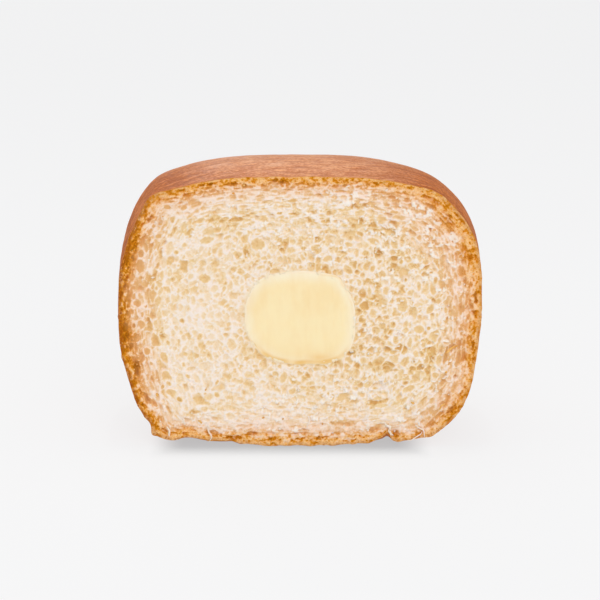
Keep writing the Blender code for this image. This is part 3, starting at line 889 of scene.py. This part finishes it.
def makeBits(name, points, weights, count, strands, draw):
    corners, quads, ends = [], [], []
    sides, crumbRings, strandRings = bits["sides"], bits["crumbRings"], bits["strandRings"]
    turn = np.linspace(0, math.tau, sides, endpoint=False)[None]

    def addRings(rings):  # a closed lump or strand from a stack of rings
        first = sum(len(c) for c in corners)
        corners.append(rings.reshape(-1, 3))
        quads.append(first + gridQuads(len(rings), sides, closed=True))
        last = first + len(rings) * sides
        ends.extend([np.arange(first, first + sides), np.arange(last - 1, last - sides - 1, -1)])

    share, factor = bits["larger"]
    for spot in draw.choice(len(points), count, p=weights / weights.sum()):
        size = draw.uniform(*bits["size"]) * (factor if draw.random() < share else 1.0)
        along = np.linspace(-0.97, 0.97, crumbRings)[:, None]
        width = np.sqrt(1 - along**2) * (1 + 0.30 * draw.standard_normal((crumbRings, sides)))
        lie = draw.uniform(0, math.pi)
        local = np.stack([width * np.cos(turn), along + 0 * turn, width * np.sin(turn)], -1) * 0.8 * size
        local[..., 0] *= draw.uniform(0.8, 1.6)
        x = local[..., 0] * math.cos(lie) - local[..., 2] * math.sin(lie)
        z = local[..., 0] * math.sin(lie) + local[..., 2] * math.cos(lie)
        behind = max(points[spot][1] - 0.3 * size, cutFront - bits["proud"] + 0.8 * size)
        at = (points[spot][0], behind, points[spot][2])
        addRings(np.stack([x, local[..., 1], z], -1) + at)
    for x0, z0, x1, z1, bow, thick, out in strands:
        share = np.linspace(0, 1, strandRings)[:, None]
        length = math.hypot(x1 - x0, z1 - z0)
        side = (-(z1 - z0) / length, (x1 - x0) / length)
        arc = bow * np.sin(math.pi * share) + 0.25 * bow * np.sin(math.tau * 1.5 * share + 4 * x0)
        centre = (x0 + (x1 - x0) * share + side[0] * arc, z0 + (z1 - z0) * share + side[1] * arc)
        radius = thick * (0.35 + 0.65 * np.sin(math.pi * share) ** 0.5)
        radius = radius * (1 + 0.25 * np.clip(draw.standard_normal((strandRings, sides)), -1.5, 1.5))
        depth = cutFront + 0.25 - out * np.sin(math.pi * share)
        across = radius * np.cos(turn)
        ring = np.stack([
            centre[0] + side[0] * across, depth + 0.6 * radius * np.sin(turn), centre[1] + side[1] * across,
        ], -1)
        addRings(ring[::-1] if z1 < z0 else ring)
    return makeMesh(name, np.concatenate(corners), np.concatenate(quads), ends)


# Materials.
def newMaterial(name):
    material = bpy.data.materials.new(name)
    material.use_nodes = True
    tree = material.node_tree
    return material, tree, tree.nodes["Principled BSDF"]


def addNode(tree, kind, settings=(), **values):
    node = tree.nodes.new(kind)
    for name, value in dict(settings).items():
        setattr(node, name, value)
    for name, value in values.items():
        node.inputs[name].default_value = value
    return node


def maths(tree, operation, first, second=None):
    node = tree.nodes.new("ShaderNodeMath")
    node.operation = operation
    for socket, value in zip(node.inputs, (first, second)):
        if value is None:
            continue
        if isinstance(value, (int, float)):
            socket.default_value = value
        else:
            tree.links.new(value, socket)
    return node.outputs[0]


def added(tree, value, extra, strength):
    return maths(tree, "ADD", value, maths(tree, "MULTIPLY", extra, strength))


def stepped(tree, value, low, high, start=0.0, end=1.0):
    node = tree.nodes.new("ShaderNodeMapRange")
    node.interpolation_type = "SMOOTHSTEP"
    tree.links.new(value, node.inputs["Value"])
    for name, number in (("From Min", low), ("From Max", high), ("To Min", start), ("To Max", end)):
        node.inputs[name].default_value = number
    return node.outputs["Result"]


def mixed(tree, share, first, second):
    node = tree.nodes.new("ShaderNodeMix")
    node.data_type = "RGBA"
    for socket, value in ((node.inputs[0], share), (node.inputs[6], first), (node.inputs[7], second)):
        if isinstance(value, (int, float)):
            socket.default_value = value
        elif isinstance(value, tuple):
            socket.default_value = (*value, 1.0)
        else:
            tree.links.new(value, socket)
    return node.outputs[2]


def paint(red, green, blue):  # a screen colour from 0 to 255 as linear light
    return tuple(((c / 255 + 0.055) / 1.055) ** 2.4 if c > 10 else c / 3294 for c in (red, green, blue))


def mask(tree, name):
    return addNode(tree, "ShaderNodeAttribute", {"attribute_name": name}).outputs["Fac"]


def makeMottleGroup():  # uneven patches, grain and fine lines, drawn out along any axis
    group = bpy.data.node_groups.new("bakedMottle", "ShaderNodeTree")
    for name, kind, value in (
        ("Vector", "NodeSocketVector", None), ("Stretch", "NodeSocketVector", (1, 1, 1)),
        ("Drift", "NodeSocketFloat", 0.0), ("Patch Scale", "NodeSocketFloat", 120.0),
        ("Grain Scale", "NodeSocketFloat", 900.0),
    ):
        socket = group.interface.new_socket(name, in_out="INPUT", socket_type=kind)
        if value is not None:
            socket.default_value = value
    for name in ("Patch", "Grain", "Lines"):
        group.interface.new_socket(name, in_out="OUTPUT", socket_type="NodeSocketFloat")
    inward, outward = group.nodes.new("NodeGroupInput"), group.nodes.new("NodeGroupOutput")
    slow = addNode(group, "ShaderNodeTexNoise", Scale=90.0, Detail=1.0)
    group.links.new(inward.outputs["Vector"], slow.inputs["Vector"])
    drifted = addNode(group, "ShaderNodeVectorMath", {"operation": "MULTIPLY_ADD"})
    group.links.new(slow.outputs["Color"], drifted.inputs[0])
    group.links.new(inward.outputs["Drift"], drifted.inputs[1])
    group.links.new(inward.outputs["Vector"], drifted.inputs[2])
    lie = addNode(group, "ShaderNodeVectorMath", {"operation": "MULTIPLY"})
    group.links.new(drifted.outputs[0], lie.inputs[0])
    group.links.new(inward.outputs["Stretch"], lie.inputs[1])
    found = []
    for vector, scale, detail in (
        (lie.outputs[0], "Patch Scale", 3.0), (inward.outputs["Vector"], "Grain Scale", 2.0),
    ):
        noise = addNode(group, "ShaderNodeTexNoise", Detail=detail, Roughness=0.6)
        group.links.new(vector, noise.inputs["Vector"])
        group.links.new(inward.outputs[scale], noise.inputs["Scale"])
        found.append(noise.outputs["Fac"])
    middle = maths(group, "ABSOLUTE", maths(group, "SUBTRACT", found[0], 0.5))
    group.links.new(found[0], outward.inputs["Patch"])
    group.links.new(found[1], outward.inputs["Grain"])
    group.links.new(stepped(group, middle, 0.035, 0.0), outward.inputs["Lines"])
    return group


def placeMottle(tree, group, patch, grain=900.0, stretch=(1, 1, 1), drift=0.0):
    node = tree.nodes.new("ShaderNodeGroup")
    node.node_tree = group
    where = tree.nodes.new("ShaderNodeTexCoord")
    tree.links.new(where.outputs["Object"], node.inputs["Vector"])
    node.inputs["Stretch"].default_value = stretch
    node.inputs["Drift"].default_value = drift
    node.inputs["Patch Scale"].default_value = patch
    node.inputs["Grain Scale"].default_value = grain
    return node.outputs["Patch"], node.outputs["Grain"], node.outputs["Lines"]


def bumped(tree, shader, height, distance, strength=0.5):
    bump = addNode(tree, "ShaderNodeBump", Strength=strength, Distance=distance)
    tree.links.new(height, bump.inputs["Height"])
    tree.links.new(bump.outputs["Normal"], shader.inputs["Normal"])


def setFinish(tree, shader, patch, look):  # how dull it is, how it shines, and light spread inside it
    tree.links.new(stepped(tree, patch, 0.3, 0.7, *look["roughness"]), shader.inputs["Roughness"])
    shader.inputs["Specular IOR Level"].default_value = look["shine"]
    shader.inputs["Subsurface Weight"].default_value = look["softness"]
    shader.inputs["Subsurface Radius"].default_value = look["softColour"]
    shader.inputs["Subsurface Scale"].default_value = look["softDepth"]


crumbLook = {
    "wall": paint(246, 233, 223),
    "wallTan": paint(248, 222, 204),
    "gold": paint(247, 200, 138),
    "torn": paint(249, 240, 231),
    "slope": paint(243, 221, 190),  # half-way down a pore
    "slopeTan": paint(239, 201, 163),
    "slopeGold": paint(232, 164, 66),
    "pore": paint(237, 207, 158),
    "poreTan": paint(229, 176, 120),
    "poreGold": paint(212, 134, 18),
    "deep": paint(222, 178, 112),
    "cavity": paint(174, 106, 10),
    "moist": paint(246, 226, 180),  # next to the cheese
    "outerLine": paint(160, 84, 16),
    "patchScale": 110.0,
    "grainScale": 2300.0,
    "grain": (0.7, 3.2),  # how strong it is in the crumb and in the crust
    "roughness": (0.72, 0.88),
    "shine": 0.08,
    "softness": 0.5,
    "softColour": (1.0, 0.9, 0.75),
    "softDepth": 0.0003,
}


def makeCrumbMaterial(group):
    material, tree, shader = newMaterial("crumb")
    patch, grain, _ = placeMottle(tree, group, crumbLook["patchScale"], crumbLook["grainScale"])
    edge = added(tree, mask(tree, "fromRim"), maths(tree, "SUBTRACT", patch, 0.5), 0.6)
    tan, gold = stepped(tree, edge, 1.25, 0.25), stepped(tree, edge, 0.52, 0.12)

    def towardsRim(middle, outer, rim):  # pale in the middle, then tan, then golden
        return mixed(tree, gold, mixed(tree, tan, middle, outer), rim)

    strength = stepped(tree, edge, 0.50, 0.15, *crumbLook["grain"])
    depth = added(tree, mask(tree, "poreDepth"), maths(tree, "SUBTRACT", grain, 0.5), strength)
    # down the pores the colour turns tan and then golden: partly the crumb's own colour, partly painted shade
    hollow, sunken = stepped(tree, depth, 0.0, 0.52), stepped(tree, depth, 0.43, 0.95)
    moist = stepped(tree, mask(tree, "fromCheese"), 0.16, 0.0, 0.0, 0.6)
    wall = mixed(tree, moist, crumbLook["wall"], crumbLook["moist"])
    wall = towardsRim(wall, crumbLook["wallTan"], crumbLook["gold"])
    pore = mixed(tree, stepped(tree, depth, 0.9, 1.7, 0.0, 0.9), crumbLook["pore"], crumbLook["deep"])
    dark = mixed(tree, stepped(tree, depth, 0.9, 1.8), crumbLook["poreGold"], crumbLook["cavity"])
    pore = towardsRim(pore, crumbLook["poreTan"], dark)
    slope = towardsRim(crumbLook["slope"], crumbLook["slopeTan"], crumbLook["slopeGold"])
    colour = mixed(tree, sunken, mixed(tree, hollow, wall, slope), pore)
    torn = maths(tree, "MULTIPLY", mask(tree, "tornClump"), 0.75)
    colour = mixed(tree, torn, colour, crumbLook["torn"])
    speckle = stepped(tree, edge, 0.45, 0.15, 0.0, 0.45)
    speckle = maths(tree, "MULTIPLY", stepped(tree, grain, 0.50, 0.38), speckle)
    colour = mixed(tree, speckle, colour, crumbLook["poreGold"])
    line = maths(tree, "MULTIPLY", mask(tree, "bakedLine"), stepped(tree, grain, 0.62, 0.42, 0.35, 0.9))
    colour = mixed(tree, line, colour, crumbLook["outerLine"])
    tree.links.new(colour, shader.inputs["Base Color"])
    setFinish(tree, shader, patch, crumbLook)
    bumped(tree, shader, grain, 0.00012)
    return material


skinLook = {
    "brown": paint(204, 116, 54),
    "pale": paint(238, 170, 120),
    "side": paint(172, 86, 22),
    "sidePale": paint(215, 128, 62),
    "line": paint(166, 80, 26),
    "paintedSheen": paint(240, 196, 168),
    "back": paint(188, 112, 56),
    "backPale": paint(217, 147, 92),
    "edge": paint(222, 142, 52),  # where it meets the cut
    "stretch": (0.30, 1.0, 0.30),
    "patchScale": 900.0,
    "grainScale": 1200.0,
    "blotchScale": 60.0,
    "drift": 0.005,
    "shine": 0.22,
}


def makeSkinMaterial(group):
    material, tree, shader = newMaterial("crustSkin")
    settings = [skinLook[name] for name in ("patchScale", "grainScale", "stretch", "drift")]
    patch, grain, lines = placeMottle(tree, group, *settings)
    blotch, _, _ = placeMottle(tree, group, skinLook["blotchScale"])
    wrinkles, top = mask(tree, "wrinkles"), mask(tree, "towardsTop")
    tone = added(tree, maths(tree, "MULTIPLY", patch, 0.5), blotch, 0.35)
    tone = added(tree, tone, maths(tree, "SUBTRACT", grain, 0.43), 0.85)
    # the wrinkles also make the tone paler on their ridges and browner in their creases: a little painted
    # light and shade
    tone = added(tree, tone, wrinkles, 0.10)
    colour = mixed(tree, stepped(tree, tone, 0.30, 0.68), skinLook["brown"], skinLook["pale"])
    # painted shade: away from the top, by the surface's direction, the skin near the cut turns a darker side
    # brown
    side = mixed(tree, stepped(tree, tone, 0.30, 0.70), skinLook["side"], skinLook["sidePale"])
    colour = mixed(tree, stepped(tree, top, 0.98, 0.68), colour, side)
    behind = mask(tree, "behindCut")
    back = mixed(tree, stepped(tree, tone, 0.20, 0.80), skinLook["back"], skinLook["backPale"])
    colour = mixed(tree, stepped(tree, behind, 1.0, 4.6), colour, back)
    # painted highlight: near the top the wrinkles' ridges are mixed towards a pale pinkish sheen colour
    upper = stepped(tree, top, 0.55, 0.9, 0.0, 0.26)
    paintedSheen = maths(tree, "MULTIPLY", stepped(tree, wrinkles, 0.3, 1.3), upper)
    colour = mixed(tree, paintedSheen, colour, skinLook["paintedSheen"])
    # painted shade in the wrinkles' creases, mixed towards the dark line colour
    colour = mixed(tree, stepped(tree, wrinkles, -0.2, -1.5, 0.0, 0.40), colour, skinLook["line"])
    colour = mixed(tree, maths(tree, "MULTIPLY", lines, 0.20), colour, skinLook["line"])
    colour = mixed(tree, stepped(tree, behind, 0.12, 0.0, 0.0, 0.75), colour, skinLook["edge"])
    tree.links.new(colour, shader.inputs["Base Color"])
    matt = stepped(tree, top, 0.90, 0.60, 0.0, 0.22)
    roughness = maths(tree, "ADD", stepped(tree, patch, 0.3, 0.7, 0.40, 0.58), matt)
    tree.links.new(roughness, shader.inputs["Roughness"])
    shader.inputs["Specular IOR Level"].default_value = skinLook["shine"]
    height = added(tree, added(tree, patch, lines, -0.35), grain, 0.6)
    bumped(tree, shader, height, 0.00035, 0.7)
    return material


cheeseSurface = {
    "body": paint(255, 232, 186),
    "pale": paint(255, 240, 214),
    "golden": paint(240, 198, 122),
    "joined": paint(255, 236, 212),
    "patchScale": 420.0,
    "patchStretch": (1.0, 1.0, 0.20),
    "cloudScale": 130.0,
    "cloudStretch": (1.0, 1.0, 0.6),
    "roughness": (0.40, 0.55),
    "shine": 0.4,
    "softness": 0.4,
    "softColour": (1.0, 0.9, 0.7),
    "softDepth": 0.0006,
}


def makeCheeseMaterial(group):
    material, tree, shader = newMaterial("cheeseSoft")
    look = cheeseSurface
    patch, _, _ = placeMottle(tree, group, look["patchScale"], stretch=look["patchStretch"])
    cloud, _, _ = placeMottle(tree, group, look["cloudScale"], stretch=look["cloudStretch"])
    # paler towards the rim, most on the upper edge, where it is a painted highlight
    pale = stepped(tree, added(tree, mask(tree, "inFromRim"), cloud, 0.5), 1.15, 0.15, 0.0, 0.85)
    colour = mixed(tree, pale, look["body"], look["pale"])
    colour = mixed(tree, stepped(tree, patch, 0.4, 0.7, 0.0, 0.12), colour, look["golden"])
    colour = mixed(tree, stepped(tree, cloud, 0.45, 0.7, 0.0, 0.20), colour, look["golden"])
    # the golden line holds painted shade along the lower edge
    colour = mixed(tree, mask(tree, "goldenLine"), colour, look["golden"])
    colour = mixed(tree, mask(tree, "intoCrumb"), colour, look["joined"])
    tree.links.new(colour, shader.inputs["Base Color"])
    setFinish(tree, shader, patch, look)
    bumped(tree, shader, patch, 0.0001, 0.3)
    return material


bitLook = {
    "white": (paint(248, 235, 223), paint(244, 222, 200)),
    "golden": (paint(244, 196, 122), paint(222, 160, 82)),
    "patchScale": 300.0,
    "grainScale": 1800.0,
    "roughness": (0.65, 0.80),
    "shine": 0.1,
    "softness": 0.4,
    "softColour": (1.0, 0.72, 0.42),
    "softDepth": 0.0006,
}


def makeBitMaterial(group, name):
    material, tree, shader = newMaterial(name + "Crumbs")
    patch, grain, _ = placeMottle(tree, group, bitLook["patchScale"], bitLook["grainScale"])
    colour = mixed(tree, stepped(tree, patch, 0.40, 0.65), *bitLook[name])
    tree.links.new(colour, shader.inputs["Base Color"])
    setFinish(tree, shader, patch, bitLook)
    bumped(tree, shader, grain, 0.00008)
    return material


def finished(piece, material, node):
    piece.data.materials.append(material)
    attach(piece, "root")
    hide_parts(node)


mottle = makeMottleGroup()
crumbMaterial = makeCrumbMaterial(mottle)
faces, facePoints, fromRim, fromCheese = makeCutFace()
for made in faces:
    finished(made, crumbMaterial, "bread")
draw = np.random.default_rng(bits["seed"])
free = (fromCheese > 1.0) & (fromRim > 2.4)
lower = smoothStep(16.0, 5.0, facePoints[:, 2])
right = 0.5 + 0.5 * np.tanh((facePoints[:, 0] - 4) / 12)
whites = free * (0.4 * right + 1.2 * lower)
goldens = (fromCheese > 1.0) * (fromRim > 0.3) * (0.05 + smoothStep(9.0, 2.0, fromRim) + lower)
made = makeBits("crumbs_white", facePoints, whites, bits["whiteCrumbs"], bits["whiteStrands"], draw)
finished(made, makeBitMaterial(mottle, "white"), "bread")
made = makeBits("crumbs_golden", facePoints, goldens, bits["goldenCrumbs"], bits["goldenStrands"], draw)
finished(made, makeBitMaterial(mottle, "golden"), "bread")
finished(makeSkin(), makeSkinMaterial(mottle), "bread")
finished(makeCheese(), makeCheeseMaterial(mottle), "cheese_filling")


# The floor, the light and the camera.
studio = {
    "floor": 3.0,
    "floorColour": (0.13, 0.13, 0.13),
    "floorGlow": (0.79, 0.79, 0.795),
    "farGlow": (0.74, 0.74, 0.745),
    "shadowColour": (0.08, 0.08, 0.08),
    "shadowGlow": (0.50, 0.50, 0.505),
    "shadowReach": 0.013,
    "openness": (0.50, 0.98),  # of the floor, from full shadow to none
    "shadowMiddle": -0.0025,
    "shadowHalf": (0.028, 0.038),  # how far to the sides it reaches, and where it is gone
    "lamps": (  # name, place and aim in metres, size, watts
        ("topLight", (-0.25, 0.35, 1.6), (0, 0, 0.03), 1.6, 6.0),
        ("frontLight", (0.3, -1.4, 1.0), (0, 0, 0.03), 0.9, 8.0),
        ("rearLight", (-0.30, 1.1, 0.55), (-0.01, 0, 0.06), 0.5, 2.0),
    ),
    "sky": 0.68,
    "elevation": 15.0,
    "distance": 1.1,
    "pixels": 600,
    "pixelsPerMillimetre": 3.77,
    "basePixel": 147,  # how far below the middle of the picture the cut meets the table
}


def makeFloor():
    half = studio["floor"] / 2 / mm
    corners = [(-half, -half, 0), (half, -half, 0), (half, half, 0), (-half, half, 0)]
    floor = makeMesh("floor", corners, [(0, 1, 2, 3)])
    material, tree, shader = newMaterial("paleFloor")
    near = addNode(tree, "ShaderNodeAmbientOcclusion", {"samples": 8}, Distance=studio["shadowReach"])
    where = addNode(tree, "ShaderNodeSeparateXYZ")
    tree.links.new(addNode(tree, "ShaderNodeTexCoord").outputs["Object"], where.inputs[0])
    aside = maths(tree, "ABSOLUTE", maths(tree, "SUBTRACT", where.outputs["X"], studio["shadowMiddle"]))
    beside = stepped(tree, aside, *studio["shadowHalf"], 0.0, 0.97)
    clear = maths(tree, "MAXIMUM", stepped(tree, near.outputs["AO"], *studio["openness"]), beside)
    shade = mixed(tree, clear, studio["shadowColour"], studio["floorColour"])
    glow = mixed(tree, stepped(tree, where.outputs["Y"], -0.1, 0.6), studio["floorGlow"], studio["farGlow"])
    glow = mixed(tree, clear, studio["shadowGlow"], glow)
    tree.links.new(shade, shader.inputs["Base Color"])
    tree.links.new(glow, shader.inputs["Emission Color"])
    shader.inputs["Emission Strength"].default_value = 1.0
    shader.inputs["Roughness"].default_value = 1.0
    shader.inputs["Specular IOR Level"].default_value = 0.0
    floor.data.materials.append(material)


def makeSky():
    world = bpy.data.worlds.new("studio")
    world.use_nodes = True
    world.node_tree.nodes["Background"].inputs["Color"].default_value = (1.0, 1.0, 1.0, 1.0)
    world.node_tree.nodes["Background"].inputs["Strength"].default_value = studio["sky"]
    bpy.context.scene.world = world


def makeLamps():
    for name, place, aim, size, power in studio["lamps"]:
        data = bpy.data.lights.new(name, "AREA")
        data.size = size
        data.energy = power
        lamp = bpy.data.objects.new(name, data)
        lamp.location = place
        lamp.rotation_euler = (Vector(aim) - Vector(place)).to_track_quat("-Z", "Y").to_euler()
        bpy.context.scene.collection.objects.link(lamp)


def makeCamera():
    tilt = math.radians(studio["elevation"])
    look = Vector((0, math.cos(tilt), -math.sin(tilt)))
    above = Vector((0, math.sin(tilt), math.cos(tilt)))
    lift = studio["basePixel"] / studio["pixelsPerMillimetre"] * mm
    aim = Vector((0, cutFront * mm, 0)) + above * lift
    data = bpy.data.cameras.new("camera")
    data.sensor_width = 36.0
    seen = studio["pixels"] / studio["pixelsPerMillimetre"] * mm  # how wide the picture is
    data.lens = data.sensor_width * studio["distance"] / seen
    camera = bpy.data.objects.new("camera", data)
    camera.location = aim - look * studio["distance"]
    camera.rotation_euler = look.to_track_quat("-Z", "Y").to_euler()
    bpy.context.scene.collection.objects.link(camera)
    bpy.context.scene.camera = camera


makeFloor()
makeSky()
makeLamps()
makeCamera()
bpy.context.scene.view_settings.view_transform = "Standard"
